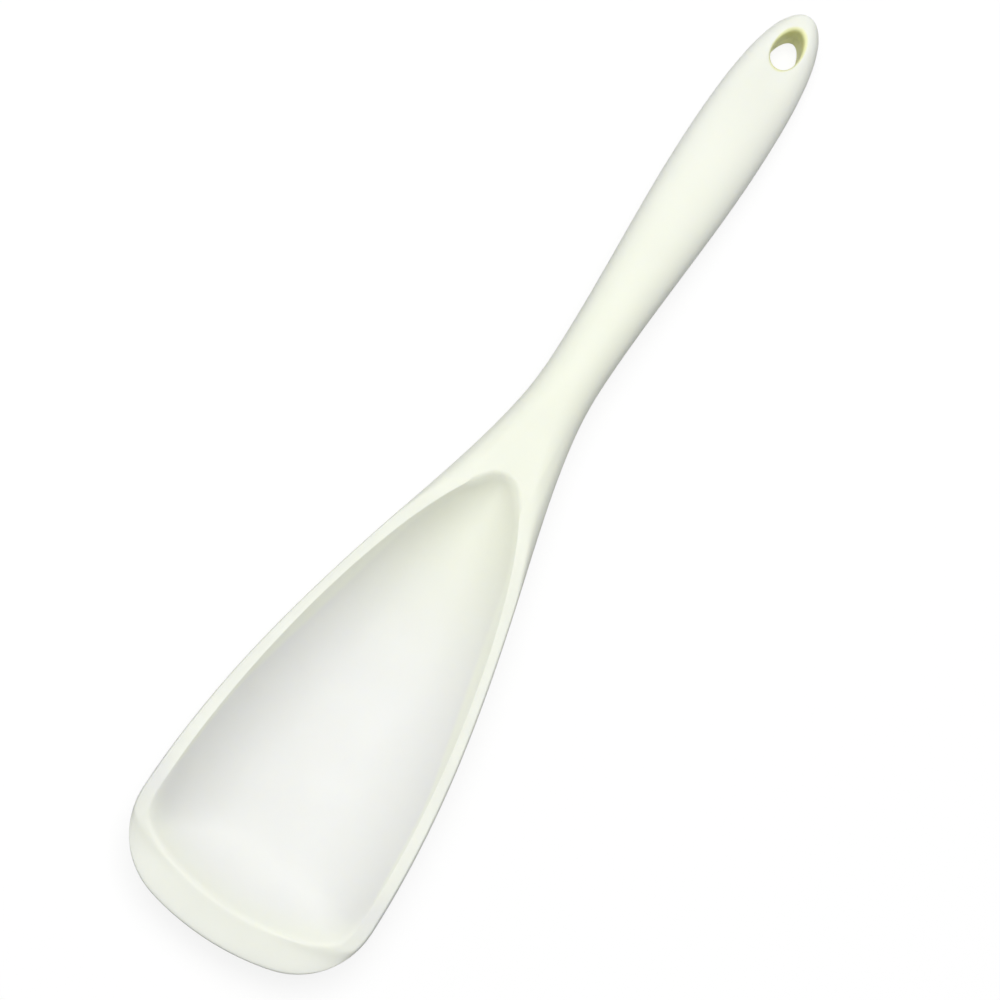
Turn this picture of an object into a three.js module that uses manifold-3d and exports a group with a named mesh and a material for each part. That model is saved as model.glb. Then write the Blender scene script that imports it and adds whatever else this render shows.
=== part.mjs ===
// A silicone cooking spoon: a stiff nylon core between two moulded silicone skins.
// Millimetres, +Z up. The spoon lies bowl up on the plane z = 0, with its handle towards +X.
// x runs along the spoon from its front edge, and is centred in the exported group.

import * as THREE from 'three';
import { mergeVertices } from 'three/addons/utils/BufferGeometryUtils.js';
import Module from 'manifold-3d';

// Driving dimensions: the plan outline
const LENGTH = 275;
const HEAD_WIDTH = 62.5;
const NECK_WIDTH = 14.9;
const GRIP_WIDTH = 21.3;
const NECK_X = 160;
const GRIP_X = 227;
const FRONT_RADIUS = 64;
const CORNER_RADIUS = 18;
const FLANK_FULLNESS = 59;
const NECK_SWEEP = 32;
const END_FULLNESS = 22;
const END_BLUNTNESS = 9.6;

// Driving dimensions: the side view
const FRONT_EDGE_Z = 11.9;
const RIM_PARTING_Z = 13.4;
const NECK_UNDERSIDE_Z = 6.4;
const EDGE_LAND = 1;
const RIM_RISE = 3.6;
const LIP_RISE = 0.7;
const NECK_THICKNESS = 12.2;
const GRIP_THICKNESS = 13.6;
const END_THICKNESS = 9.6;
const END_ROUNDING_SHARE = 0.6;
const RIM_TIGHT_X = 22;
const RIM_FULL_X = 28;
const REST_FRONT_X = 24;
const REST_BACK_X = 88;
const BELLY_SHARE = 0.74;
const DOME_START_X = 118;
const DOME_FULL_X = 165;

// Driving dimensions: the bowl
const LIP_WIDTH = 8;
const RIM_WIDTH = 3.3;
const RIM_ROUNDING = 0.8;
const BOWL_BACK_X = 130;
const BOWL_CORNER_RADIUS = 10;
const BOWL_FULLNESS = 57;
const BOWL_BACK_BLUNTNESS = 9;
const BOWL_DEPTH = 11.8;
const BOWL_RUN = 26;
const BOWL_STEEPNESS = 3.1;

// Driving dimensions: the hanging hole
const HOLE_WIDTH = 6.9;
const HOLE_LENGTH = 11.5;
const HOLE_END_WALL = 5.6;
const HOLE_ROUNDING = 0.7;
const HOLE_EGG_SHARE = 0.16;

// Driving dimensions: the core and the windows that key the skins to it
const SKIN_GAP = 0.3;
const CORE_FRONT_X = 18;
const CORE_HEAD_INSET = 12.5;
const CORE_GRIP_INSET = 3.2;
const CORE_CORNER_RADIUS = 9;
const CORE_HOLE_WALL = 4;
const BOWL_CORE_SHARE = 0.36;
const GRIP_CORE_SHARE = 0.5;
const GRIP_WINDOW_WIDTH = 5;
const GRIP_WINDOW_LENGTH = 20;
const GRIP_WINDOW_COUNT = 2;
const BOWL_WINDOW_DIAMETER = 9;
const BOWL_WINDOW_COUNT = 3;

// Facets
const ROWS = 48;
const END_CROWDING = 0.2;
const MIDDLE_CROWDING = 0.5;
const RIM_COLUMNS = 4;
const BOWL_COLUMNS = 5;
const WIDEST_RIM_SHARE = 0.45;
const CORE_ROWS = 30;
const CORE_COLUMNS = 4;
const CURVE_POINTS = 60;
const HOLE_SIDES = 20;
const WINDOW_SIDES = 12;

// Places that follow from the driving dimensions
const HOLE_X = LENGTH - HOLE_END_WALL - HOLE_LENGTH / 2;
const CORE_END_X = HOLE_X - HOLE_LENGTH / 2 - CORE_HOLE_WALL;

const wasm = await Module();
wasm.setup();

const { clamp, lerp, smoothstep } = THREE.MathUtils;

// Rises from 0 to 1 as t does: a straight bevel at blunt 0, a quarter ellipse at blunt 1.
function roundOff( t, blunt ) {

	const clipped = clamp( t, 0, 1 );
	return lerp( clipped, Math.sqrt( 1 - ( 1 - clipped ) ** 2 ), blunt );

}

// Reads one coordinate of a run of points at a value of the other, which rises along the run.
function reader( points, key, value ) {

	return ( at ) => {

		const after = points.findIndex( ( p ) => p[ key ] >= at );
		if ( after === - 1 ) return points.at( - 1 )[ value ];
		if ( after === 0 ) return points[ 0 ][ value ];
		const a = points[ after - 1 ];
		const b = points[ after ];
		return lerp( a[ value ], b[ value ], ( at - a[ key ] ) / ( b[ key ] - a[ key ] ) );

	};

}

// Outlines, each drawn as its half at y > 0 from the front to the back

// A blunt front: a front arc and a corner arc tangent to it, which ends level at the half width.
function bluntFront( path, frontX, halfWidth, cornerRadius ) {

	const cornerY = halfWidth - cornerRadius;
	const frontRadius = FRONT_RADIUS - frontX;
	const apart = frontRadius - cornerRadius;
	const cornerX = FRONT_RADIUS - Math.sqrt( apart ** 2 - cornerY ** 2 );
	const joint = Math.atan2( cornerY, cornerX - FRONT_RADIUS );
	path.absarc( FRONT_RADIUS, 0, frontRadius, Math.PI, joint, true );
	path.absarc( cornerX, cornerY, cornerRadius, joint, Math.PI / 2, true );
	return cornerX;

}

function spoonOutline( { frontX, endX, headInset, gripInset, cornerRadius } ) {

	const head = HEAD_WIDTH / 2 - headInset;
	const neck = NECK_WIDTH / 2 - gripInset;
	const grip = GRIP_WIDTH / 2 - gripInset;
	const path = new THREE.Path();
	const headX = bluntFront( path, frontX, head, cornerRadius );
	const gripRun = ( GRIP_X - NECK_X ) / 3;
	const endRun = END_FULLNESS * ( endX - GRIP_X ) / ( LENGTH - GRIP_X );
	path.bezierCurveTo( headX + FLANK_FULLNESS, head, NECK_X - NECK_SWEEP, neck, NECK_X, neck );
	path.bezierCurveTo( NECK_X + gripRun, neck, GRIP_X - gripRun, grip, GRIP_X, grip );
	path.bezierCurveTo( GRIP_X + endRun, grip, endX, END_BLUNTNESS - gripInset, endX, 0 );
	return path.getPoints( CURVE_POINTS );

}

function bowlOutline() {

	const half = HEAD_WIDTH / 2 - RIM_WIDTH;
	const path = new THREE.Path();
	const headX = bluntFront( path, LIP_WIDTH, half, BOWL_CORNER_RADIUS );
	path.bezierCurveTo( headX + BOWL_FULLNESS, half, BOWL_BACK_X, BOWL_BACK_BLUNTNESS, BOWL_BACK_X, 0 );
	return path.getPoints( CURVE_POINTS );

}

// Distance in plan from ( x, y ) to a half outline and its mirror image.
function distanceTo( points, x, y ) {

	const target = new THREE.Vector3( x, Math.abs( y ), 0 );
	const segment = new THREE.Line3();
	const nearest = new THREE.Vector3();
	let least = Infinity;
	for ( let i = 1; i < points.length; i ++ ) {

		segment.start.set( points[ i - 1 ].x, points[ i - 1 ].y, 0 );
		segment.end.set( points[ i ].x, points[ i ].y, 0 );
		segment.closestPointToPoint( target, true, nearest );
		least = Math.min( least, nearest.distanceTo( target ) );

	}

	return least;

}

const outer = spoonOutline( {
	frontX: 0,
	endX: LENGTH,
	headInset: 0,
	gripInset: 0,
	cornerRadius: CORNER_RADIUS
} );
const bowl = bowlOutline();
const readOuter = reader( outer, 'x', 'y' );
const bowlHalfWidth = reader( bowl, 'x', 'y' );
const outerHalfWidth = ( x ) => Math.max( readOuter( x ), EDGE_LAND );

// The side view: where the head gives way to the handle, and the parting line of the two skins

const frontToRim = ( x ) => smoothstep( x, 0, REST_FRONT_X );
const lipToRim = ( x ) => smoothstep( x, LIP_WIDTH, RIM_FULL_X );
const bevelToBead = ( x ) => smoothstep( x, LIP_WIDTH, RIM_TIGHT_X );
const bowlToNeck = ( x ) => smoothstep( x, REST_BACK_X, NECK_X );
const rimToDome = ( x ) => smoothstep( x, DOME_START_X, DOME_FULL_X );

function handleThickness( x ) {

	const neckToGrip = lerp( NECK_THICKNESS, GRIP_THICKNESS, smoothstep( x, NECK_X, GRIP_X ) );
	return lerp( neckToGrip, END_THICKNESS, smoothstep( x, GRIP_X, HOLE_X ) );

}

// How far each skin of the handle stands off the edge land.
const handleRise = ( x ) => ( handleThickness( x ) - EDGE_LAND ) / 2;

function partingZ( x ) {

	const alongHandle = clamp( ( x - NECK_X ) / ( HOLE_X - NECK_X ), 0, 1 );
	const undersideZ = NECK_UNDERSIDE_Z * ( 1 + Math.cos( Math.PI * alongHandle ) ) / 2;
	const handleZ = undersideZ + handleThickness( x ) / 2;
	const headZ = lerp( FRONT_EDGE_Z, RIM_PARTING_Z, frontToRim( x ) );
	return lerp( headZ, handleZ, bowlToNeck( x ) );

}

// How far in from the edge the handle's section stays rounded: the flatter towards the hole.
function handleRun( x ) {

	return outerHalfWidth( x ) * lerp( 1, END_ROUNDING_SHARE, smoothstep( x, GRIP_X, HOLE_X ) );

}

// The skins' outer surfaces, as heights over the plan

// A rounded hollow: its wall is as steep all round, so it is shallower where the bowl narrows.
function bowlDepth( x, y ) {

	if ( x <= LIP_WIDTH || x >= BOWL_BACK_X || Math.abs( y ) >= bowlHalfWidth( x ) ) return 0;
	const run = Math.min( bowlHalfWidth( x ), BOWL_RUN );
	const breadth = run / BOWL_RUN;
	const steepness = lerp( 2, BOWL_STEEPNESS, breadth );
	const depth = BOWL_DEPTH * breadth * BOWL_STEEPNESS / steepness;
	const inward = Math.min( distanceTo( bowl, x, y ) / run, 1 );
	return depth * ( 1 - ( 1 - inward ) ** steepness );

}

function topZ( x, y ) {

	const headRise = lerp( LIP_RISE, RIM_RISE, lipToRim( x ) );
	const headRun = lerp( LIP_WIDTH, RIM_ROUNDING, bevelToBead( x ) );
	const rise = lerp( headRise, handleRise( x ), bowlToNeck( x ) );
	const run = lerp( headRun, handleRun( x ), rimToDome( x ) );
	const round = roundOff( distanceTo( outer, x, y ) / run, bevelToBead( x ) );
	return partingZ( x ) + EDGE_LAND / 2 + rise * round - bowlDepth( x, y );

}

function bottomZ( x, y ) {

	const landZ = partingZ( x ) - EDGE_LAND / 2;
	const drop = lerp( landZ, handleRise( x ), bowlToNeck( x ) );
	const run = lerp( BELLY_SHARE * outerHalfWidth( x ), handleRun( x ), bowlToNeck( x ) );
	return landZ - drop * roundOff( distanceTo( outer, x, y ) / run, frontToRim( x ) );

}

const middleZ = ( x, y ) => ( topZ( x, y ) + bottomZ( x, y ) ) / 2;

// The core's faces: above the middle of the wall at side 1, below it at side -1.
function coreZ( x, y, side ) {

	const share = lerp( BOWL_CORE_SHARE, GRIP_CORE_SHARE, bowlToNeck( x ) );
	return middleZ( x, y ) + side * share * ( topZ( x, y ) - bottomZ( x, y ) ) / 2;

}

// A height function moved up by a distance measured square to its surface.
function raised( height, distance ) {

	const step = SKIN_GAP / 2;
	return ( x, y ) => {

		const alongX = ( height( x + step, y ) - height( x - step, y ) ) / ( 2 * step );
		const alongY = ( height( x, y + step ) - height( x, y - step ) ) / ( 2 * step );
		return height( x, y ) + distance * Math.hypot( 1, alongX, alongY );

	};

}

// Plan grids: rows from front to back that follow the outline's two ends, columns along its sides

// How far in from the edge each column lies, as a share of the half width at x.
function skinColumns( x ) {

	const widest = bowl.reduce( ( a, b ) => ( b.y > a.y ? b : a ) ).x;
	const at = Math.max( x, widest );
	const rim = Math.min( 1 - bowlHalfWidth( at ) / outerHalfWidth( at ), WIDEST_RIM_SHARE );
	const columns = [];
	for ( let k = 0; k < RIM_COLUMNS; k ++ ) columns.push( rim * ( k / RIM_COLUMNS ) ** 1.5 );
	for ( let k = 0; k <= BOWL_COLUMNS; k ++ ) columns.push( lerp( rim, 1, ( k / BOWL_COLUMNS ) ** 1.4 ) );
	return columns;

}

function coreColumns() {

	return Array.from( { length: CORE_COLUMNS + 1 }, ( _, k ) => k / CORE_COLUMNS );

}

// The rows of a half outline's plan grid, each running from one side to the other.
function planGrid( points, rowCount, columnsAt ) {

	const steps = points.slice( 1 ).map( ( p, k ) => p.clone().sub( points[ k ] ) );
	const firstSide = steps.findIndex( ( step ) => Math.abs( step.y ) < step.x );
	const lastSide = steps.findLastIndex( ( step ) => Math.abs( step.y ) < step.x ) + 1;
	const front = points[ firstSide ];
	const back = points[ lastSide ];
	const frontX = points[ 0 ].x;
	const endX = points.at( - 1 ).x;
	const readFront = reader( points.slice( 0, firstSide + 1 ), 'y', 'x' );
	const readBack = reader( points.slice( lastSide ).reverse(), 'y', 'x' );
	const side = new THREE.SplineCurve( points.slice( firstSide, lastSide + 1 ) );
	side.arcLengthDivisions = 4 * points.length;
	const rows = [];
	for ( let i = 0; i <= rowCount; i ++ ) {

		const even = i / rowCount;
		const turn = 2 * Math.PI * even;
		const toEnds = END_CROWDING * Math.sin( turn );
		const toMiddle = MIDDLE_CROWDING * Math.sin( 2 * turn ) / 2;
		const along = even - ( toEnds + toMiddle ) / ( 2 * Math.PI );
		const edge = side.getPointAt( along );
		const frontward = 1 - smoothstep( along, 0, 0.3 );
		const backward = smoothstep( along, 0.7, 1 );
		const half = columnsAt( edge.x ).map( ( inset ) => {

			const across = 1 - inset;
			const frontBow = front.x - readFront( across * front.y );
			const backBow = readBack( across * back.y ) - back.x;
			return [ edge.x - frontward * frontBow + backward * backBow, across * edge.y ];

		} );
		const mirrored = half.map( ( [ x, y ] ) => [ x, - y ] );
		rows.push( [ ...mirrored.slice( 0, - 1 ), ...half.reverse() ] );

	}

	return rows;

}

// Solids

function solidFrom( vertProperties, triVerts ) {

	return new wasm.Manifold( new wasm.Mesh( { numProp: 3, vertProperties, triVerts } ) );

}

function solidFromGeometry( geometry ) {

	geometry.deleteAttribute( 'normal' );
	geometry.deleteAttribute( 'uv' );
	const { attributes, index } = mergeVertices( geometry );
	return solidFrom( new Float32Array( attributes.position.array ), new Uint32Array( index.array ) );

}

function geometryFrom( solid ) {

	const mesh = solid.getMesh();
	const geometry = new THREE.BufferGeometry();
	geometry.setAttribute( 'position', new THREE.BufferAttribute( mesh.vertProperties, 3 ) );
	geometry.setIndex( new THREE.BufferAttribute( mesh.triVerts, 1 ) );
	return geometry;

}

// A closed solid over a plan grid, between two height functions.
function slab( rows, lowZ, highZ ) {

	const last = rows.length - 1;
	const across = rows[ 0 ].length - 1;
	const positions = rows.flat().flatMap( ( [ x, y ] ) => [ x, y, lowZ( x, y ), x, y, highZ( x, y ) ] );
	const low = ( i, j ) => 2 * ( i * ( across + 1 ) + j );
	const high = ( i, j ) => low( i, j ) + 1;
	const triangles = [];
	const quad = ( a, b, c, d ) => triangles.push( a, b, c, a, c, d );
	for ( let i = 0; i < last; i ++ ) {

		for ( let j = 0; j < across; j ++ ) {

			quad( high( i, j ), high( i + 1, j ), high( i + 1, j + 1 ), high( i, j + 1 ) );
			quad( low( i, j ), low( i, j + 1 ), low( i + 1, j + 1 ), low( i + 1, j ) );

		}

		quad( low( i, 0 ), low( i + 1, 0 ), high( i + 1, 0 ), high( i, 0 ) );
		quad( low( i + 1, across ), low( i, across ), high( i, across ), high( i + 1, across ) );

	}

	for ( let j = 0; j < across; j ++ ) {

		quad( low( 0, j + 1 ), low( 0, j ), high( 0, j ), high( 0, j + 1 ) );
		quad( low( last, j ), low( last, j + 1 ), high( last, j + 1 ), high( last, j ) );

	}

	return solidFrom( new Float32Array( positions ), new Uint32Array( triangles ) );

}

// The hanging hole: an egg-shaped spool, blunter towards the bowl, whose flared ends round the two mouths.
function holeSpool() {

	const bore = HOLE_WIDTH / 2;
	const mouth = bore + HOLE_ROUNDING;
	const shoulder = HOLE_ROUNDING / 3;
	const top = topZ( HOLE_X, mouth );
	const bottom = bottomZ( HOLE_X, mouth );
	const profile = [
		[ 0, bottom - END_THICKNESS ],
		[ mouth, bottom - END_THICKNESS ],
		[ mouth, bottom ],
		[ bore + shoulder, bottom + shoulder ],
		[ bore, bottom + HOLE_ROUNDING ],
		[ bore, top - HOLE_ROUNDING ],
		[ bore + shoulder, top - shoulder ],
		[ mouth, top ],
		[ mouth, top + END_THICKNESS ],
		[ 0, top + END_THICKNESS ],
	].map( ( [ r, z ] ) => new THREE.Vector2( r, z ) );
	const spool = new THREE.LatheGeometry( profile, HOLE_SIDES );
	spool.rotateX( Math.PI / 2 );
	spool.scale( HOLE_LENGTH / HOLE_WIDTH, 1, 1 );
	const places = spool.attributes.position;
	for ( let i = 0; i < places.count; i ++ ) {

		const along = places.getX( i ) / ( HOLE_LENGTH / 2 );
		places.setY( i, places.getY( i ) * ( 1 - HOLE_EGG_SHARE * along ) );

	}

	spool.translate( HOLE_X, 0, 0 );
	return solidFromGeometry( spool );

}

// A round-ended post along Z that cuts one window in the core.
function windowPost( x, width, length ) {

	const run = ( length - width ) / 2;
	const shape = new THREE.Shape();
	shape.absarc( run, 0, width / 2, - Math.PI / 2, Math.PI / 2, false );
	shape.absarc( - run, 0, width / 2, Math.PI / 2, 3 * Math.PI / 2, false );
	const height = 4 * ( RIM_PARTING_Z + RIM_RISE );
	const post = new THREE.ExtrudeGeometry( shape, {
		depth: height,
		bevelEnabled: false,
		curveSegments: WINDOW_SIDES / 2
	} );
	post.translate( x, 0, - height / 2 );
	return solidFromGeometry( post );

}

// Places of a row of windows spread evenly between two places along the spoon.
function spread( fromX, toX, count ) {

	return Array.from( { length: count }, ( _, k ) => lerp( fromX, toX, ( k + 0.5 ) / count ) );

}

// The core, or with a growth the room that the skins leave for it.
function coreSolid( growth ) {

	const points = spoonOutline( {
		frontX: CORE_FRONT_X - growth,
		endX: CORE_END_X + growth,
		headInset: CORE_HEAD_INSET - growth,
		gripInset: CORE_GRIP_INSET - growth,
		cornerRadius: CORE_CORNER_RADIUS + growth
	} );
	const underside = raised( ( x, y ) => coreZ( x, y, - 1 ), - growth );
	const upside = raised( ( x, y ) => coreZ( x, y, 1 ), growth );
	let solid = slab( planGrid( points, CORE_ROWS, coreColumns ), underside, upside );
	const round = BOWL_WINDOW_DIAMETER - 2 * growth;
	for ( const x of spread( CORE_FRONT_X, REST_BACK_X, BOWL_WINDOW_COUNT ) ) {

		solid = solid.subtract( windowPost( x, round, round ) );

	}

	const width = GRIP_WINDOW_WIDTH - 2 * growth;
	const length = GRIP_WINDOW_LENGTH - 2 * growth;
	for ( const x of spread( NECK_X, CORE_END_X, GRIP_WINDOW_COUNT ) ) {

		solid = solid.subtract( windowPost( x, width, length ) );

	}

	return solid;

}

const skinRows = planGrid( outer, ROWS, skinColumns );
const upper = slab( skinRows, raised( middleZ, SKIN_GAP / 2 ), topZ );
const lower = slab( skinRows, bottomZ, raised( middleZ, - SKIN_GAP / 2 ) );
const cutaway = coreSolid( SKIN_GAP ).add( holeSpool() );

// The assembly

const silicone = new THREE.MeshStandardMaterial( { color: 0xf6f6e9, roughness: 0.5, metalness: 0 } );
const nylon = new THREE.MeshStandardMaterial( { color: 0xd9d3c2, roughness: 0.6, metalness: 0 } );

const spoon = new THREE.Group();

function addPart( name, solid, material ) {

	const mesh = new THREE.Mesh( geometryFrom( solid ), material );
	mesh.name = name;
	mesh.position.x = - LENGTH / 2;
	spoon.add( mesh );

}

addPart( 'nylon_core', coreSolid( 0 ), nylon );
addPart( 'lower_skin', lower.subtract( cutaway ), silicone );
addPart( 'upper_skin', upper.subtract( cutaway ), silicone );

export default spoon;
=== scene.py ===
import math

import bmesh
import bpy
import numpy as np
from mathutils import Matrix, Vector


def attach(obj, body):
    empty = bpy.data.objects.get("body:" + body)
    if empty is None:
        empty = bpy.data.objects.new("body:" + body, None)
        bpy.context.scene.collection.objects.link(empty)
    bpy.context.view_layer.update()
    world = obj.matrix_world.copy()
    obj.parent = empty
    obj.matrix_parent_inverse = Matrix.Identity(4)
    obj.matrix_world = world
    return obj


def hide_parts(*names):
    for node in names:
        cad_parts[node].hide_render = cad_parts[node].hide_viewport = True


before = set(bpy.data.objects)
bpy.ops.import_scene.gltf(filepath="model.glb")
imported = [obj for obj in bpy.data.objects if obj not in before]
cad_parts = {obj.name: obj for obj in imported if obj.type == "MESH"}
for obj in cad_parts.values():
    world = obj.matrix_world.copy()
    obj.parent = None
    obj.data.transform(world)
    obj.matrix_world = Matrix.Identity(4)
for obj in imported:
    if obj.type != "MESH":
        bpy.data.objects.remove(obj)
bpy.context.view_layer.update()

# A silicone cooking spoon lies bowl up on a white table, its handle towards +X.
# Sizes are in millimetres, with x counted from the spoon's front edge.
MM = 0.001

# The plan outline
LENGTH = 275.0
HEAD_WIDTH = 61.8
NECK_WIDTH = 14.3
GRIP_WIDTH = 20.1
NECK_X = 160.0
GRIP_X = 232.0
FRONT_RADIUS = 64.0
CORNER_RADIUS = 19.9
FLANK_FULLNESS = 59.7
NECK_SWEEP = 32.4
END_FULLNESS = 21.2
END_BLUNTNESS = 8.8

# The side view
FRONT_EDGE_Z = 11.9
RIM_PARTING_Z = 13.4
NECK_UNDERSIDE_Z = 6.4
EDGE_LAND = 1.0
RIM_RISE = 3.6
LIP_RISE = 0.7
NECK_THICKNESS = 12.1
GRIP_THICKNESS = 13.5
END_THICKNESS = 9.5
END_ROUNDING_SHARE = 0.6
HANDLE_FULLNESS = 2.4
RIM_TIGHT_X = 16.0
RIM_FULL_X = 36.0
REST_FRONT_X = 24.0
REST_BACK_X = 88.0
BELLY_SHARE = 0.74
DOME_START_X = 104.0
DOME_FULL_X = 165.0
REST_CLEARANCE = 0.05

# The bowl
LIP_WIDTH = 8.0
RIM_WIDTH = 3.3
RIM_ROUNDING = 0.55
CREST_ROUNDING = 1.0
BOWL_BACK_X = 129.0
BOWL_CORNER_RADIUS = 10.0
BOWL_FULLNESS = 53.0
BOWL_BACK_BLUNTNESS = 10.2
BOWL_DEPTH = 11.8
BOWL_RUN = 26.0
BOWL_STEEPNESS = 3.1

# The hanging hole
HOLE_WIDTH = 6.9
HOLE_LENGTH = 11.5
HOLE_END_WALL = 5.6
HOLE_EGG = 0.16
HOLE_ROUNDING = 0.7
MOUTH_STEP = math.pi / 8
MOUTH_SHOULDER = 0.62
MOUTH_SINKS = (0.18, 0.75, 1.6)
HOLE_X = LENGTH - HOLE_END_WALL - HOLE_LENGTH / 2

# The skins' walls and the hairline between them
SEAM = 0.12
THICKEST_WALL = 2.0
BOWL_WALL = 1.25
EDGE_WALL = 0.3
WALL_GROWTH = 0.42

# Rows of the skins' cages, as places on the middle line
LIP_ROWS = (0.0, 1.6, 3.4, 5.2, 6.8, 8.0, 9.2, 10.8, 13.0, 16.0, 20.0)
BOWL_ROWS = (25.0, 31.0, 38.0, 46.0, 54.0, 62.0, 70.0, 78.0, 86.0, 93.0, 99.5, 105.5, 111.0, 115.5, 119.5)
BACK_ROWS = (122.2, 124.4, 126.2, 127.6, 128.7, 129.8, 131.4, 134.0, 138.0, 143.0, 148.5, 154.5, 161.5)
GRIP_ROWS = (170.0, 180.5, 191.5, 203.0, 214.5, 225.0, 234.5, 242.5, 248.5, 252.6)
HOLE_ROW_STEPS = (-5.7, -2.8, 0.0, 2.8, 5.7)
END_ROWS = (272.2, 273.7, 274.6, 275.0)
FRONT_BOW_REACH = 60.0

# Columns of the cages, as shares of the bowl's and the rim's width, and beside the hole
BOWL_COLUMNS = (0.0, 0.36, 0.6, 0.76, 0.875, 0.965, 1.0)
RIM_COLUMNS = (0.88, 0.5, 0.29, 0.13, 0.035, 0.0)
WIDEST_RIM_SHARE = 0.45
GRIP_COLUMNS_X = 121.0
TOP_COLUMNS = len(BOWL_COLUMNS) + len(RIM_COLUMNS) - 1
UNDER_COLUMNS = 8
HOLE_COLUMNS = 2
RING_LOSS = 0.025
NEAR_MOUTH = 1.15
SMOOTHING_LEVELS = 2
SMOOTH_BELOW = math.radians(50.0)


# Places and plain curves


def from_front(x):
    """A place along the spoon in the shared frame, from its distance behind the front edge."""
    return (x - LENGTH / 2) * MM


def between(a, b, t):
    return a + (b - a) * t


def ease(x, low, high):
    t = min(max((x - low) / (high - low), 0.0), 1.0)
    return t * t * (3.0 - 2.0 * t)


def round_off(t, blunt, fullness):
    """Rises from 0 to 1: a bevel at blunt 0, a quarter oval at blunt 1, an ellipse at fullness 2."""
    t = min(max(t, 0.0), 1.0)
    return between(t, (1.0 - (1.0 - t) ** fullness) ** (1.0 / fullness), blunt)


def arc(centre_x, centre_y, radius, start, end, steps=40):
    turns = [between(start, end, k / steps) for k in range(steps + 1)]
    return [(centre_x + radius * math.cos(a), centre_y + radius * math.sin(a)) for a in turns]


def bezier(start, pull_start, pull_end, end, steps=80):
    points = []
    for k in range(1, steps + 1):
        t = k / steps
        weights = ((1 - t) ** 3, 3 * (1 - t) ** 2 * t, 3 * (1 - t) * t * t, t ** 3)
        knots = (start, pull_start, pull_end, end)
        points.append(tuple(sum(w * p[axis] for w, p in zip(weights, knots)) for axis in (0, 1)))
    return points


# Outlines in plan, each drawn as its half at y > 0 from the front to the back


def blunt_front(front_x, half_width, corner_radius):
    """A front arc and a corner arc tangent to it, which ends level at the half width."""
    corner_y = half_width - corner_radius
    front_radius = FRONT_RADIUS - front_x
    corner_x = FRONT_RADIUS - math.sqrt((front_radius - corner_radius) ** 2 - corner_y ** 2)
    joint = math.atan2(corner_y, corner_x - FRONT_RADIUS)
    points = arc(FRONT_RADIUS, 0.0, front_radius, math.pi, joint)
    return points + arc(corner_x, corner_y, corner_radius, joint, math.pi / 2)[1:]


def spoon_outline():
    head, neck, grip = HEAD_WIDTH / 2, NECK_WIDTH / 2, GRIP_WIDTH / 2
    points = blunt_front(0.0, head, CORNER_RADIUS)
    head_x = points[-1][0]
    third = (GRIP_X - NECK_X) / 3
    flank, sweep = (head_x + FLANK_FULLNESS, head), (NECK_X - NECK_SWEEP, neck)
    points += bezier((head_x, head), flank, sweep, (NECK_X, neck))
    points += bezier((NECK_X, neck), (NECK_X + third, neck), (GRIP_X - third, grip), (GRIP_X, grip))
    points += bezier((GRIP_X, grip), (GRIP_X + END_FULLNESS, grip), (LENGTH, END_BLUNTNESS), (LENGTH, 0.0))
    return points


def bowl_outline():
    half = HEAD_WIDTH / 2 - RIM_WIDTH
    points = blunt_front(LIP_WIDTH, half, BOWL_CORNER_RADIUS)
    head_x = points[-1][0]
    back = (BOWL_BACK_X, BOWL_BACK_BLUNTNESS)
    return points + bezier((head_x, half), (head_x + BOWL_FULLNESS, half), back, (BOWL_BACK_X, 0.0))


OUTLINE = np.array(spoon_outline())
BOWL = np.array(bowl_outline())


def half_width(x):
    return max(float(np.interp(x, OUTLINE[:, 0], OUTLINE[:, 1])), EDGE_LAND)


def bowl_half_width(x):
    return float(np.interp(x, BOWL[:, 0], BOWL[:, 1]))


def distance(outline, x, y):
    """Distance in plan from a point to a half outline and its mirror image."""
    start, end = outline[:-1], outline[1:]
    run = end - start
    offset = np.array((x, abs(y))) - start
    share = np.clip((offset * run).sum(1) / (run * run).sum(1), 0.0, 1.0)
    return float(np.sqrt(((offset - share[:, None] * run) ** 2).sum(1).min()))


# The skins' outer surfaces as heights over the plan


def front_to_rim(x):
    return ease(x, 0.0, REST_FRONT_X)


def lip_to_rim(x):
    return ease(x, LIP_WIDTH, RIM_FULL_X)


def bevel_to_bead(x):
    return ease(x, LIP_WIDTH, RIM_TIGHT_X)


def bowl_to_neck(x):
    return ease(x, REST_BACK_X, NECK_X)


def rim_to_dome(x):
    return ease(x, DOME_START_X, DOME_FULL_X)


def section_fullness(x):
    return between(2.0, HANDLE_FULLNESS, rim_to_dome(x))


def handle_thickness(x):
    grip = between(NECK_THICKNESS, GRIP_THICKNESS, ease(x, NECK_X, GRIP_X))
    return between(grip, END_THICKNESS, ease(x, GRIP_X, HOLE_X))


def handle_rise(x):
    return (handle_thickness(x) - EDGE_LAND) / 2


def handle_run(x):
    return half_width(x) * between(1.0, END_ROUNDING_SHARE, ease(x, GRIP_X, HOLE_X))


def parting_z(x):
    along = min(max((x - NECK_X) / (HOLE_X - NECK_X), 0.0), 1.0)
    underside = between(REST_CLEARANCE, NECK_UNDERSIDE_Z, (1.0 + math.cos(math.pi * along)) / 2)
    handle = underside + handle_thickness(x) / 2
    head = between(FRONT_EDGE_Z, RIM_PARTING_Z, front_to_rim(x))
    return between(head, handle, bowl_to_neck(x))


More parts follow.
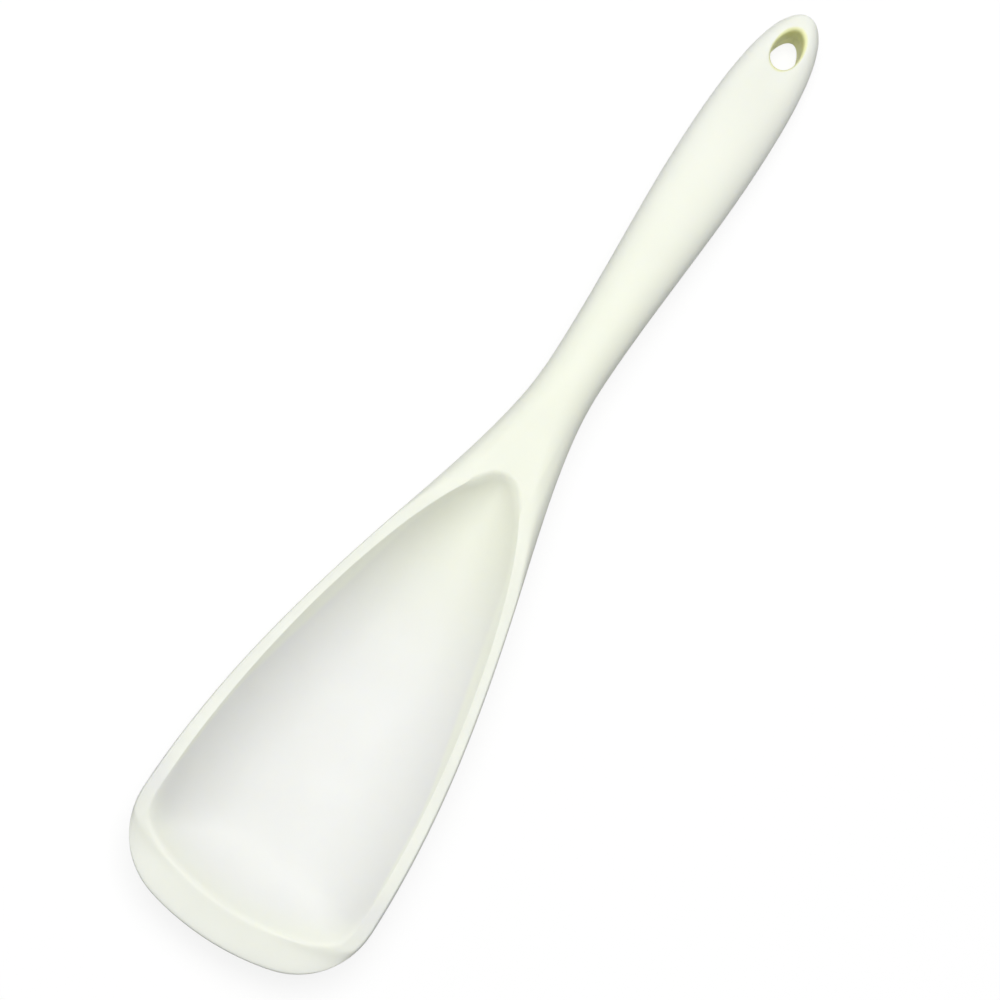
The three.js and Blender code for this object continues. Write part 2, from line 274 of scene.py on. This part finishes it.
def bowl_depth(x, y):
    if x <= LIP_WIDTH or x >= BOWL_BACK_X or abs(y) >= bowl_half_width(x):
        return 0.0
    run = min(bowl_half_width(x), BOWL_RUN)
    breadth = run / BOWL_RUN
    steepness = between(2.0, BOWL_STEEPNESS, breadth)
    depth = BOWL_DEPTH * breadth * BOWL_STEEPNESS / steepness
    crest = CREST_ROUNDING * (1.0 - lip_to_rim(x))
    inward = min((math.hypot(distance(BOWL, x, y), crest) - crest) / run, 1.0)
    return depth * (1.0 - (1.0 - inward) ** steepness)


def top_z(x, y):
    rise = between(between(LIP_RISE, RIM_RISE, lip_to_rim(x)), handle_rise(x), bowl_to_neck(x))
    run = between(between(LIP_WIDTH, RIM_ROUNDING, bevel_to_bead(x)), handle_run(x), rim_to_dome(x))
    rounded = round_off(distance(OUTLINE, x, y) / run, bevel_to_bead(x), section_fullness(x))
    return parting_z(x) + EDGE_LAND / 2 + rise * rounded - bowl_depth(x, y)


def bottom_z(x, y):
    neckward = bowl_to_neck(x)
    land = parting_z(x) - EDGE_LAND / 2
    drop = between(land - REST_CLEARANCE, handle_rise(x), neckward)
    run = between(BELLY_SHARE * half_width(x), handle_run(x), neckward)
    return land - drop * round_off(distance(OUTLINE, x, y) / run, front_to_rim(x), section_fullness(x))


# Cages: rows from front to back that follow the outline's two ends, columns along its sides

STEPS = np.diff(OUTLINE, axis=0)
SIDE = np.nonzero(np.abs(STEPS[:, 1]) < STEPS[:, 0])[0]
FRONT_CORNER = OUTLINE[SIDE[0]]
END_CORNER = OUTLINE[SIDE[-1] + 1]
FRONT_CURVE = OUTLINE[: SIDE[0] + 1]
END_CURVE = OUTLINE[SIDE[-1] + 1:][::-1]


def front_bow(share):
    return float(np.interp(share * FRONT_CORNER[1], FRONT_CURVE[:, 1], FRONT_CURVE[:, 0]))


def end_bow(share):
    return LENGTH - float(np.interp(share * END_CORNER[1], END_CURVE[:, 1], END_CURVE[:, 0]))


def top_shares(x):
    """Shares of the half width at which the upper skin's columns lie, from the middle to the edge."""
    widest = BOWL[BOWL[:, 1].argmax(), 0]
    at = max(x, widest)
    rim = min(1.0 - bowl_half_width(at) / half_width(at), WIDEST_RIM_SHARE)
    inside = [(1.0 - rim) * share for share in BOWL_COLUMNS]
    on_rim = [1.0 - rim * share for share in RIM_COLUMNS]
    on_grip = [math.sin(math.pi / 2 * c / TOP_COLUMNS) for c in range(TOP_COLUMNS + 1)]
    gripward = ease(x, GRIP_COLUMNS_X, NECK_X)
    return [between(a, b, gripward) for a, b in zip(inside + on_rim, on_grip)]


def under_shares(x):
    """The same for the lower skin."""
    return [math.sin(math.pi / 2 * c / UNDER_COLUMNS) for c in range(UNDER_COLUMNS + 1)]


def plain_row(middle_x, shares_at):
    frontward = 1.0 - ease(middle_x, 0.0, FRONT_BOW_REACH)
    endward = ease(middle_x, HOLE_X, LENGTH)
    edge_x = middle_x + frontward * FRONT_CORNER[0] - endward * (LENGTH - END_CORNER[0])
    half = float(np.interp(edge_x, OUTLINE[:, 0], OUTLINE[:, 1]))
    row = []
    for share in shares_at(edge_x):
        row.append((middle_x + frontward * front_bow(share) - endward * end_bow(share), share * half))
    return row


def mouth_turn(number, column):
    """Where a point of a row beside the hole lies on its mouth, from 0 at the back to half a turn."""
    last = len(HOLE_ROW_STEPS) - 1
    if number == 0:
        return math.pi - column * MOUTH_STEP
    if number == last:
        return column * MOUTH_STEP
    return (last + HOLE_COLUMNS - number) * MOUTH_STEP


def hole_row(number, shares_at):
    """A row beside the hanging hole: its inner columns lie on the hole's oval mouth, or inside it."""
    edge_x = HOLE_X + HOLE_ROW_STEPS[number]
    edge = (edge_x, half_width(edge_x))
    shares = shares_at(edge_x)
    inside = 0 < number < len(HOLE_ROW_STEPS) - 1
    row = []
    for column in range(HOLE_COLUMNS + 1):
        turn = mouth_turn(number, column)
        across = column / HOLE_COLUMNS if inside else 1.0
        swell = across * (1.0 - HOLE_EGG * math.cos(turn)) * math.sin(turn)
        row.append((HOLE_X + mouth_length() / 2 * math.cos(turn), swell * mouth_width() / 2))
    mouth = row[-1]
    for share in shares[HOLE_COLUMNS + 1:]:
        out = (share - shares[HOLE_COLUMNS]) / (1.0 - shares[HOLE_COLUMNS])
        row.append((between(mouth[0], edge[0], out), between(mouth[1], edge[1], out)))
    return row


def mouth_length():
    return mouth_width() * HOLE_LENGTH / HOLE_WIDTH


def mouth_width():
    """Across the hole's rounded mouth, and wider by what smoothing takes off its ring of edges."""
    return (HOLE_WIDTH + 2 * HOLE_ROUNDING) * (1.0 + RING_LOSS)


def skin_points(shares_at, height):
    """Points of one skin's outer surface, row by row, from the middle line to the edge."""
    rows = [plain_row(x, shares_at) for x in LIP_ROWS + BOWL_ROWS + BACK_ROWS + GRIP_ROWS]
    rows += [hole_row(number, shares_at) for number in range(len(HOLE_ROW_STEPS))]
    rows += [plain_row(x, shares_at) for x in END_ROWS]
    return np.array([[(x, y, height(x, y)) for x, y in row] for row in rows])


def cage_points(points):
    """Moves the points out so that the smoothed skin passes through the places they had."""
    mirrored = np.concatenate([points[:, 1:2] * (1.0, -1.0, 1.0), points], axis=1)
    across = np.zeros_like(points)
    across[:, :-1] = mirrored[:, :-2] - 2 * mirrored[:, 1:-1] + mirrored[:, 2:]
    along = np.zeros_like(points)
    along[1:-1] = points[:-2] - 2 * points[1:-1] + points[2:]
    hole = len(points) - len(END_ROWS) - len(HOLE_ROW_STEPS)
    across[hole:-len(END_ROWS), :HOLE_COLUMNS + 1] = 0.0
    along[hole:-len(END_ROWS), :HOLE_COLUMNS + 1] = 0.0
    return points - (across + along) / 6


# Modelling steps


def start_piece(name, rows, columns):
    bpy.ops.object.select_all(action="DESELECT")
    bpy.ops.mesh.primitive_grid_add(x_subdivisions=rows, y_subdivisions=2 * columns, size=LENGTH * MM)
    piece = bpy.context.object
    piece.name = name
    piece.data.name = name
    bpy.ops.object.mode_set(mode="EDIT")
    bpy.ops.mesh.select_mode(type="VERT")
    bpy.ops.mesh.select_all(action="DESELECT")
    return piece


def grid_lines(cage, width):
    """The grid's vertices as rows from front to back, each from one side to the other."""
    ordered = sorted(cage.verts, key=lambda v: (round(v.co.x, 5), round(v.co.y, 5)))
    return [ordered[k:k + width] for k in range(0, len(ordered), width)]


def seat_pair(pair, place):
    """Brings a vertex and its mirror image to their place with a stretch and a move."""
    for vertex in pair:
        vertex.select_set(True)
    now = pair[0].co.copy()
    if now.y > MM:
        bpy.ops.transform.resize(value=(1.0, place.y / now.y, 1.0), center_override=(0.0, 0.0, 0.0))
    bpy.ops.transform.translate(value=(place.x - now.x, 0.0, place.z - now.z))
    for vertex in pair:
        vertex.select_set(False)


def shape_rows(lines, points):
    middle = len(points[0]) - 1
    for line, row in zip(lines, points):
        for column, (x, y, z) in enumerate(row):
            place = Vector((from_front(x), y * MM, z * MM))
            seat_pair((line[middle + column], line[middle - column]), place)


def pick_edges(cage, wanted):
    bpy.ops.mesh.select_mode(type="EDGE")
    bpy.ops.mesh.select_all(action="DESELECT")
    for edge in cage.edges:
        if edge.is_boundary and wanted(edge):
            edge.select_set(True)


def near_hole(edge):
    middle = (edge.verts[0].co + edge.verts[1].co) / 2 / MM
    across = middle.y / (mouth_width() / 2)
    along = (middle.x + LENGTH / 2 - HOLE_X) / (mouth_length() / 2)
    return math.hypot(across, along) < NEAR_MOUTH


def turn_edge(piece, side):
    """Turns the skin's outer edge straight down, or up on the lower skin, to the seam."""
    cage = bmesh.from_edit_mesh(piece.data)
    pick_edges(cage, lambda edge: not near_hole(edge))
    drop = -side * (EDGE_LAND - SEAM) / 2 * MM
    bpy.ops.mesh.extrude_edges_move(TRANSFORM_OT_translate={"value": (0.0, 0.0, drop)})


def cut_hole(piece, lines, middle, side):
    """Opens the hanging hole and draws its rounded mouth and its wall in to the seam."""
    cage = bmesh.from_edit_mesh(piece.data)
    first = len(lines) - len(END_ROWS) - len(HOLE_ROW_STEPS)
    inside = set()
    for line in lines[first:first + len(HOLE_ROW_STEPS)]:
        inside.update(line[middle - HOLE_COLUMNS:middle + HOLE_COLUMNS + 1])
    bpy.ops.mesh.select_mode(type="FACE")
    bpy.ops.mesh.select_all(action="DESELECT")
    for face in cage.faces:
        face.select_set(all(vertex in inside for vertex in face.verts))
    bpy.ops.mesh.delete(type="FACE")
    cage = bmesh.from_edit_mesh(piece.data)
    pick_edges(cage, near_hole)
    centre = (from_front(HOLE_X), 0.0, parting_z(HOLE_X) * MM)
    bore = HOLE_WIDTH / (HOLE_WIDTH + 2 * HOLE_ROUNDING)
    shoulder = 1.0 - MOUTH_SHOULDER * (1.0 - bore)
    for sink, size in zip(MOUTH_SINKS, (shoulder, bore / shoulder, 1.0)):
        bpy.ops.mesh.extrude_edges_move(TRANSFORM_OT_translate={"value": (0.0, 0.0, -side * sink * MM)})
        bpy.ops.transform.resize(value=(size, size, 1.0), center_override=centre)
    bpy.ops.mesh.extrude_edges_move(TRANSFORM_OT_translate={"value": (0.0, 0.0, 0.0)})
    bpy.ops.transform.resize(value=(1.0, 1.0, 0.0), center_override=centre)
    bpy.ops.transform.translate(value=(0.0, 0.0, side * SEAM / 2 * MM))


def wall_thickness(x, y):
    inner = between(BOWL_WALL, THICKEST_WALL, bowl_to_neck(x))
    return min(EDGE_WALL + WALL_GROWTH * distance(OUTLINE, x, y), inner)


def apply_modifier(piece, kind, **settings):
    modifier = piece.modifiers.new(kind.lower(), kind)
    for key, value in settings.items():
        setattr(modifier, key, value)
    bpy.ops.object.modifier_apply(modifier=modifier.name)


def finish_skin(piece):
    """Smooths the cage, gives it a wall and rounds off its shading."""
    bpy.ops.object.mode_set(mode="OBJECT")
    wall = piece.vertex_groups.new(name="wall")
    for vertex in piece.data.vertices:
        x, y = vertex.co.x / MM + LENGTH / 2, vertex.co.y / MM
        wall.add([vertex.index], wall_thickness(x, y) / THICKEST_WALL, "REPLACE")
    apply_modifier(piece, "SUBSURF", levels=SMOOTHING_LEVELS, render_levels=SMOOTHING_LEVELS)
    apply_modifier(
        piece, "SOLIDIFY", thickness=THICKEST_WALL * MM, offset=-1.0,
        vertex_group=wall.name, use_even_offset=False,
    )
    bpy.ops.object.shade_smooth_by_angle(angle=SMOOTH_BELOW)


def make_skin(name, node, columns, shares_at, height, side):
    points = cage_points(skin_points(shares_at, height))
    piece = start_piece(name, len(points) - 1, columns)
    cage = bmesh.from_edit_mesh(piece.data)
    lines = grid_lines(cage, 2 * columns + 1)
    shape_rows(lines, points)
    if side < 0:
        bpy.ops.mesh.select_all(action="SELECT")
        bpy.ops.mesh.flip_normals()
    cut_hole(piece, lines, columns, side)
    turn_edge(piece, side)
    finish_skin(piece)
    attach(piece, "root")
    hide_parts(node)
    return piece


upper_skin = make_skin("upper_silicone", "upper_skin", TOP_COLUMNS, top_shares, top_z, 1)
lower_skin = make_skin("lower_silicone", "lower_skin", UNDER_COLUMNS, under_shares, bottom_z, -1)


# Materials

# Tones of the moulding: the lip and rim and the handle, with painted light on the handle's end, painted
# shade in the bowl's hollow and painted light and shade on the hole's wall
LIP_CREAM = (0.898, 0.915, 0.805, 1.0)
HANDLE_CREAM = (0.885, 0.91, 0.77, 1.0)
# Painted light: the handle's end is painted lighter, for light falling on its slope.
END_PAINTED_LIGHT = (0.915, 0.935, 0.825, 1.0)
# Painted shade: the bowl's hollow is painted darker and greyer than the rim, and darker still towards its
# back end.
BOWL_SHADE_FRONT = (0.852, 0.858, 0.815, 1.0)
BOWL_SHADE_BACK = (0.835, 0.855, 0.725, 1.0)
# Painted light and shade: olive on the hole's wall, for light passing through the silicone and bouncing in
# the hole.
HOLE_PAINTED_LIGHT = (0.86, 0.87, 0.47, 1.0)
NYLON_DARK = (0.66, 0.62, 0.52, 1.0)
NYLON_PALE = (0.7, 0.66, 0.56, 1.0)

# Where one tone runs into the next: x from the front edge, z of the bowl's painted shade, shares of the
# hole's mouth
# Painted shade: the bowl's hollow darkens towards its back end over this reach.
BOWL_SHADE_BACK_X = (67.5, 122.5)
HANDLE_TONE_X = (27.5, 157.5)
# Painted light: the handle's end lightens over this reach.
END_LIGHT_X = (157.5, 252.5)
BOWL_SHADE_Z = (17.4, 16.2)
BOWL_SHADE_BEHIND_LIP = 9.0
BOWL_SHADE_SIDE_X = (45.0, 115.0)
BOWL_SHADE_SIDE_FADE = 1.2
HOLE_TONE_SHARES = (1.02, 0.88)

# Finish: the mould's grain and slow mottle, gloss, and how deep the light goes in
GRAIN_SCALE = 2600.0
GRAIN_DETAIL = 3.0
GRAIN_RANGE = (0.3, 0.7)
GRAIN_DEPTH = 0.05
MOTTLE_SCALE = 60.0
MOTTLE_DETAIL = 2.0
MOTTLE_RANGE = (0.35, 0.65)
SILICONE_GRAIN = 0.12
SILICONE_ROUGHNESS = (0.46, 0.54)
SILICONE_IOR = 1.41
SILICONE_DEPTH_SHARE = 0.25
SILICONE_DEPTH = 3.0
SILICONE_DEPTH_TINT = (1.0, 0.9, 0.6)
NYLON_GRAIN = 0.2
NYLON_ROUGHNESS = (0.42, 0.58)
NYLON_IOR = 1.53

# Sockets of the node that blends two colours
FIRST_COLOUR = 6
SECOND_COLOUR = 7
BLENDED_COLOUR = 2


def new_material(name):
    material = bpy.data.materials.new(name)
    material.use_nodes = True
    tree = material.node_tree
    tree.nodes.clear()
    output = tree.nodes.new("ShaderNodeOutputMaterial")
    shader = tree.nodes.new("ShaderNodeBsdfPrincipled")
    tree.links.new(shader.outputs["BSDF"], output.inputs["Surface"])
    return material, tree, shader


def object_place(tree):
    return tree.nodes.new("ShaderNodeTexCoord").outputs["Object"]


def feed(tree, socket, value):
    """Links a node's output to a socket, or sets the socket to a plain value."""
    if isinstance(value, bpy.types.NodeSocket):
        tree.links.new(value, socket)
    else:
        socket.default_value = value


def calculate(tree, operation, *values):
    node = tree.nodes.new("ShaderNodeMath")
    node.operation = operation
    for socket, value in zip(node.inputs, values):
        feed(tree, socket, value)
    return node.outputs["Value"]


def fade(tree, value, start, end, low=0.0, high=1.0):
    """Runs smoothly from low to high as a value goes from start to end."""
    node = tree.nodes.new("ShaderNodeMapRange")
    node.interpolation_type = "SMOOTHSTEP"
    for name, setting in (("From Min", start), ("From Max", end), ("To Min", low), ("To Max", high)):
        node.inputs[name].default_value = setting
    tree.links.new(value, node.inputs["Value"])
    return node.outputs["Result"]


def noise(tree, place, scale, detail):
    node = tree.nodes.new("ShaderNodeTexNoise")
    node.inputs["Scale"].default_value = scale
    node.inputs["Detail"].default_value = detail
    tree.links.new(place, node.inputs["Vector"])
    return node.outputs["Fac"]


def blend_colours(tree, share, first, second):
    node = tree.nodes.new("ShaderNodeMix")
    node.data_type = "RGBA"
    feed(tree, node.inputs["Factor"], share)
    feed(tree, node.inputs[FIRST_COLOUR], first)
    feed(tree, node.inputs[SECOND_COLOUR], second)
    return node.outputs[BLENDED_COLOUR]


def bump(tree, height, strength, distance):
    node = tree.nodes.new("ShaderNodeBump")
    node.inputs["Strength"].default_value = strength
    node.inputs["Distance"].default_value = distance
    tree.links.new(height, node.inputs["Height"])
    return node.outputs["Normal"]


def new_group(name, outputs):
    """A node group that reads a place on the object and gives the named values."""
    group = bpy.data.node_groups.new(name, "ShaderNodeTree")
    group.interface.new_socket("Place", in_out="INPUT", socket_type="NodeSocketVector")
    for output in outputs:
        group.interface.new_socket(output, in_out="OUTPUT", socket_type="NodeSocketFloat")
    place = group.nodes.new("NodeGroupInput").outputs["Place"]
    results = group.nodes.new("NodeGroupOutput").inputs
    return group, place, results


def use_group(tree, group, place):
    node = tree.nodes.new("ShaderNodeGroup")
    node.node_tree = group
    tree.links.new(place, node.inputs["Place"])
    return node.outputs


def moulded_surface():
    """Fine grain of a blasted mould, and slow changes of tone over a moulding."""
    group, place, results = new_group("moulded_surface", ("Grain", "Mottle"))
    feed(group, results["Grain"], noise(group, place, GRAIN_SCALE, GRAIN_DETAIL))
    mottle = noise(group, place, MOTTLE_SCALE, MOTTLE_DETAIL)
    feed(group, results["Mottle"], fade(group, mottle, *MOTTLE_RANGE))
    return group


def plan_length(tree, along, across):
    squares = [calculate(tree, "POWER", value, 2.0) for value in (along, across)]
    return calculate(tree, "SQRT", calculate(tree, "ADD", *squares))


def bowl_shade_mask(tree, x, y, z):
    """1 where the bowl's hollow gets its painted shade: behind the lip's arc, below the rim and between its
    two sides.
    """
    ahead = calculate(tree, "MINIMUM", calculate(tree, "SUBTRACT", x, from_front(FRONT_RADIUS)), 0.0)
    lip_arc = (FRONT_RADIUS - LIP_WIDTH) * MM
    behind_lip = fade(tree, plan_length(tree, ahead, y), lip_arc, lip_arc - BOWL_SHADE_BEHIND_LIP * MM)
    below_rim = fade(tree, z, *[height * MM for height in BOWL_SHADE_Z])
    front_x, back_x = BOWL_SHADE_SIDE_X
    narrowing = (bowl_half_width(front_x) - bowl_half_width(back_x)) / (back_x - front_x)
    side = calculate(
        tree, "ADD", calculate(tree, "ABSOLUTE", y), calculate(tree, "MULTIPLY", x, narrowing))
    bowl_side = bowl_half_width(back_x) * MM + narrowing * from_front(back_x)
    between_rims = fade(tree, side, bowl_side + BOWL_SHADE_SIDE_FADE * MM, bowl_side)
    return calculate(tree, "MULTIPLY", calculate(tree, "MULTIPLY", behind_lip, below_rim), between_rims)


def hole_mask(tree, x, y):
    """1 on the wall of the hanging hole, where it is painted olive for light through the silicone, fading
    out over its mouth.
    """
    behind = calculate(tree, "SUBTRACT", x, from_front(HOLE_X))
    along = calculate(tree, "DIVIDE", behind, mouth_length() / 2 * MM)
    across = calculate(tree, "DIVIDE", y, mouth_width() / 2 * MM)
    return fade(tree, plan_length(tree, along, across), *HOLE_TONE_SHARES)


def spoon_zones():
    """Where the bowl's painted shade and its darker back end, the handle, the handle end's painted light
    and the hanging hole's painted wall lie.
    """
    group, place, results = new_group("spoon_zones", ("Bowl_shade", "Bowl_back_shade", "Handle", "End", "Hole"))
    axes = group.nodes.new("ShaderNodeSeparateXYZ")
    group.links.new(place, axes.inputs["Vector"])
    x, y, z = axes.outputs
    feed(group, results["Bowl_shade"], bowl_shade_mask(group, x, y, z))
    for zone, reach in (("Bowl_back_shade", BOWL_SHADE_BACK_X), ("Handle", HANDLE_TONE_X), ("End", END_LIGHT_X)):
        feed(group, results[zone], fade(group, x, *[from_front(place_x) for place_x in reach]))
    feed(group, results["Hole"], hole_mask(group, x, y))
    return group


def silicone(name, surface_group, zones_group, shaded_bowl):
    material, tree, shader = new_material(name)
    place = object_place(tree)
    surface = use_group(tree, surface_group, place)
    zones = use_group(tree, zones_group, place)
    cream = blend_colours(tree, zones["Handle"], LIP_CREAM, HANDLE_CREAM)
    # Painted light: the handle's end is painted lighter, for light falling on its slope.
    tone = blend_colours(tree, zones["End"], cream, END_PAINTED_LIGHT)
    # Painted shade: the bowl's hollow is painted darker and greyer than the rim, darker still towards its
    # back end.
    if shaded_bowl:
        bowl_shade = blend_colours(tree, zones["Bowl_back_shade"], BOWL_SHADE_FRONT, BOWL_SHADE_BACK)
        tone = blend_colours(tree, zones["Bowl_shade"], tone, bowl_shade)
    # Painted light and shade: the hole's wall is painted olive, for light passing through the silicone and
    # bouncing in the hole.
    tone = blend_colours(tree, zones["Hole"], tone, HOLE_PAINTED_LIGHT)
    feed(tree, shader.inputs["Base Color"], tone)
    feed(tree, shader.inputs["Roughness"], fade(tree, surface["Mottle"], 0.0, 1.0, *SILICONE_ROUGHNESS))
    feed(tree, shader.inputs["Normal"], bump(tree, surface["Grain"], SILICONE_GRAIN, GRAIN_DEPTH * MM))
    shader.inputs["IOR"].default_value = SILICONE_IOR
    shader.inputs["Subsurface Weight"].default_value = SILICONE_DEPTH_SHARE
    shader.inputs["Subsurface Radius"].default_value = SILICONE_DEPTH_TINT
    shader.inputs["Subsurface Scale"].default_value = SILICONE_DEPTH * MM
    return material


def nylon(surface_group):
    material, tree, shader = new_material("glass_filled_nylon")
    place = object_place(tree)
    surface = use_group(tree, surface_group, place)
    feed(tree, shader.inputs["Base Color"], blend_colours(tree, surface["Mottle"], NYLON_DARK, NYLON_PALE))
    feed(tree, shader.inputs["Roughness"], fade(tree, surface["Grain"], *GRAIN_RANGE, *NYLON_ROUGHNESS))
    feed(tree, shader.inputs["Normal"], bump(tree, surface["Grain"], NYLON_GRAIN, GRAIN_DEPTH * MM))
    shader.inputs["IOR"].default_value = NYLON_IOR
    return material


def set_material(piece, material):
    piece.data.materials.clear()
    piece.data.materials.append(material)


mould = moulded_surface()
zones_of_spoon = spoon_zones()
set_material(upper_skin, silicone("upper_cream_silicone", mould, zones_of_spoon, True))
set_material(lower_skin, silicone("lower_cream_silicone", mould, zones_of_spoon, False))
set_material(bpy.data.objects["nylon_core"], nylon(mould))


# Stage, light and camera

VIEW_DISTANCE = 0.85
VIEW_TILT = math.radians(16.8)
VIEW_SIDE = math.radians(1.0)
AXIS_ANGLE = math.radians(56.83)
VIEW_CENTRE = Vector((-0.0135, -0.00136, 0.014))
FOCAL_PIXELS = 3614.0
IMAGE_SIZE = 1000.0
SENSOR = 36.0
ROOM_LIGHT = 0.17
TABLE_SIZE = 6.0
TABLE_WHITE = (0.85, 1.0)
TABLE_WHITE_REACH = (0.4, 1.5)
TABLE_SHADOW_GREY = (0.16, 0.16, 0.16, 1.0)
TABLE_BOUNCE_GREY = (0.5, 0.5, 0.5, 1.0)
SOFTBOXES = (
    # name, place, size, power
    ("overhead", (0.11, 0.1, 1.2), 0.9, 13.55),
    ("side_fill", (0.0, 0.9, 0.35), 0.6, 0.9),
)


def seen_share(tree):
    """1 for rays that show a thing, straight or in a mirror or glass, 0 for rays that light things."""
    path = tree.nodes.new("ShaderNodeLightPath")
    mirrored = calculate(tree, "ADD", path.outputs["Is Glossy Ray"], path.outputs["Is Transmission Ray"])
    return calculate(tree, "MINIMUM", calculate(tree, "ADD", path.outputs["Is Camera Ray"], mirrored), 1.0)


def add_floor():
    """A white table: seen, it is white with a faint shadow, and to the light it is a plain grey."""
    bpy.ops.object.select_all(action="DESELECT")
    bpy.ops.mesh.primitive_plane_add(size=TABLE_SIZE)
    floor = bpy.context.object
    floor.name = "table"
    material = bpy.data.materials.new("white_table")
    material.use_nodes = True
    tree = material.node_tree
    tree.nodes.clear()
    shadowed = tree.nodes.new("ShaderNodeBsdfDiffuse")
    shadowed.inputs["Color"].default_value = TABLE_SHADOW_GREY
    far = tree.nodes.new("ShaderNodeVectorMath")
    far.operation = "LENGTH"
    tree.links.new(object_place(tree), far.inputs[0])
    white = tree.nodes.new("ShaderNodeEmission")
    feed(tree, white.inputs["Strength"], fade(tree, far.outputs["Value"], *TABLE_WHITE_REACH, *TABLE_WHITE))
    seen = tree.nodes.new("ShaderNodeAddShader")
    tree.links.new(shadowed.outputs["BSDF"], seen.inputs[0])
    tree.links.new(white.outputs["Emission"], seen.inputs[1])
    bounce = tree.nodes.new("ShaderNodeBsdfDiffuse")
    bounce.inputs["Color"].default_value = TABLE_BOUNCE_GREY
    mix = tree.nodes.new("ShaderNodeMixShader")
    tree.links.new(seen_share(tree), mix.inputs["Fac"])
    tree.links.new(bounce.outputs["BSDF"], mix.inputs[1])
    tree.links.new(seen.outputs["Shader"], mix.inputs[2])
    output = tree.nodes.new("ShaderNodeOutputMaterial")
    tree.links.new(mix.outputs["Shader"], output.inputs["Surface"])
    set_material(floor, material)


def add_world():
    world = bpy.data.worlds.new("studio")
    bpy.context.scene.world = world
    world.use_nodes = True
    tree = world.node_tree
    background = tree.nodes["Background"]
    background.inputs["Color"].default_value = (1.0, 1.0, 1.0, 1.0)
    feed(tree, background.inputs["Strength"], fade(tree, seen_share(tree), 0.0, 1.0, ROOM_LIGHT, 1.0))


def add_softbox(name, place, size, power):
    """A square lamp that faces the spoon."""
    lamp = bpy.data.lights.new(name, "AREA")
    lamp.shape = "SQUARE"
    lamp.size = size
    lamp.energy = power
    box = bpy.data.objects.new(name, lamp)
    bpy.context.scene.collection.objects.link(box)
    box.location = place
    box.rotation_euler = (-Vector(place)).to_track_quat("-Z", "Y").to_euler()


def add_camera():
    camera = bpy.data.cameras.new("camera")
    camera.sensor_width = SENSOR
    camera.lens = FOCAL_PIXELS / IMAGE_SIZE * SENSOR
    holder = bpy.data.objects.new("camera", camera)
    bpy.context.scene.collection.objects.link(holder)
    ahead = math.cos(VIEW_SIDE)
    forward = Vector((math.sin(VIEW_TILT) * ahead, math.sin(VIEW_SIDE), -math.cos(VIEW_TILT) * ahead))
    along = (Vector((1.0, 0.0, 0.0)) - forward.x * forward).normalized()
    across = forward.cross(along)
    right = math.cos(AXIS_ANGLE) * along + math.sin(AXIS_ANGLE) * across
    up = math.sin(AXIS_ANGLE) * along - math.cos(AXIS_ANGLE) * across
    place = VIEW_CENTRE - VIEW_DISTANCE * forward
    turn = Matrix((right, up, -forward)).transposed().to_4x4()
    holder.matrix_world = Matrix.Translation(place) @ turn
    bpy.context.scene.camera = holder


bpy.context.scene.view_settings.view_transform = "Standard"
add_floor()
add_world()
for softbox in SOFTBOXES:
    add_softbox(*softbox)
add_camera()
